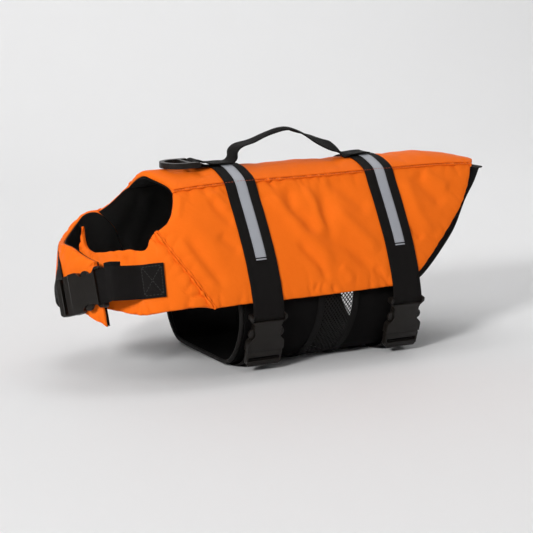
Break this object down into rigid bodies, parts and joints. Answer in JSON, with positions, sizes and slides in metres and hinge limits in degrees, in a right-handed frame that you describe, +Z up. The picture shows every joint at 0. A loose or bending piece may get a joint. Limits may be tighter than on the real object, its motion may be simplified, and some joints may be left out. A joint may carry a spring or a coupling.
{
  "type": "dog life jacket",
  "caption": "Padded dog flotation jacket with lapped chest flaps, belly panel, girth straps, side-release buckles, grab handle and leash ring.",
  "frame": {"origin": "middle of the jacket's box at its lowest point, under the belly strap faces it rests on", "axes": "-X towards the dog's head, -Y the dog's left side with the girth buckles, +Z up"},
  "size_m": [0.564, 0.2317, 0.2573],
  "materials": {
    "orange_oxford": "woven polyester oxford, satin sheen",
    "black_lining": "plain woven nylon lining, matt",
    "black_neoprene": "neoprene with a knit face, matt",
    "black_net": "knitted mesh, matt",
    "black_webbing": "ribbed nylon webbing",
    "reflective_tape": "silver grey retroreflective tape, satin",
    "black_plastic": "moulded acetal, fine grain"
  },
  "bodies": {
    "jacket": {"back_panel": "orange_oxford", "side_panel_left": "orange_oxford", "side_panel_right": "orange_oxford", "chest_flap_left": "orange_oxford", "chest_flap_right": "orange_oxford", "lining_back": "black_lining", "lining_side_left": "black_lining", "lining_side_right": "black_lining", "lining_flap_left": "black_lining", "lining_flap_right": "black_lining", "belly_front": "black_neoprene", "belly_rear": "black_neoprene", "belly_net": "black_net", "belly_binding": "black_webbing", "girth_strap_front": "black_webbing", "girth_strap_rear": "black_webbing", "handle": "black_webbing", "chest_strap_left": "black_webbing", "chest_strap_right": "black_webbing", "reflective_tape_front": "reflective_tape", "reflective_tape_rear": "reflective_tape", "buckle_front_socket": "black_plastic", "buckle_front_clip": "black_plastic", "buckle_rear_socket": "black_plastic", "buckle_rear_clip": "black_plastic", "buckle_chest_socket": "black_plastic", "buckle_chest_clip": "black_plastic"},
    "leash_ring": {"leash_ring": "black_plastic"}
  },
  "joints": [
    {"name": "leash_ring_hinge", "type": "hinge", "parent": "jacket", "child": "leash_ring", "pos_m": [-0.106, 0.00135, 0.225], "axis": [0, 1, 0], "range_deg": [0, 100]}
  ]
}
